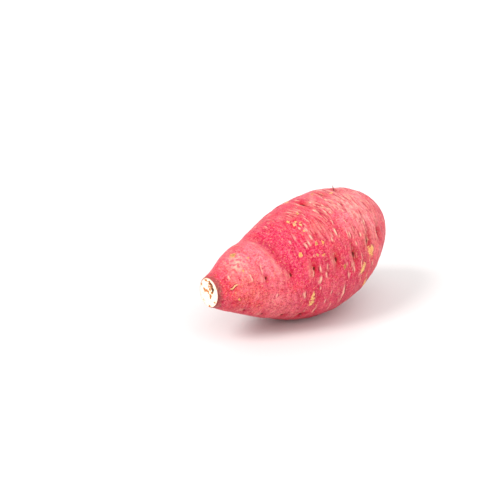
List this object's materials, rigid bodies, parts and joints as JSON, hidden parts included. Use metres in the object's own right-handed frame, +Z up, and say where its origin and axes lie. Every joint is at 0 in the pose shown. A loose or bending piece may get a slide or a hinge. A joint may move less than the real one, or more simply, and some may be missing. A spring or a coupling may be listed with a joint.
{
  "type": "sweet potato",
  "caption": "Whole pink-skinned sweet potato root lying on its side: plump belly, narrower neck ending in a pale knife-cut face, short tapered tail.",
  "frame": {"origin": "on the surface the root rests on, under the middle of its length and width", "axes": "+X along the root from the knife cut at the stem end to the tail, +Z up"},
  "size_m": [0.146, 0.0752, 0.0706],
  "materials": {
    "root_skin": "satin"
  },
  "bodies": {
    "root": {"sweet_potato": "root_skin"}
  },
  "joints": []
}
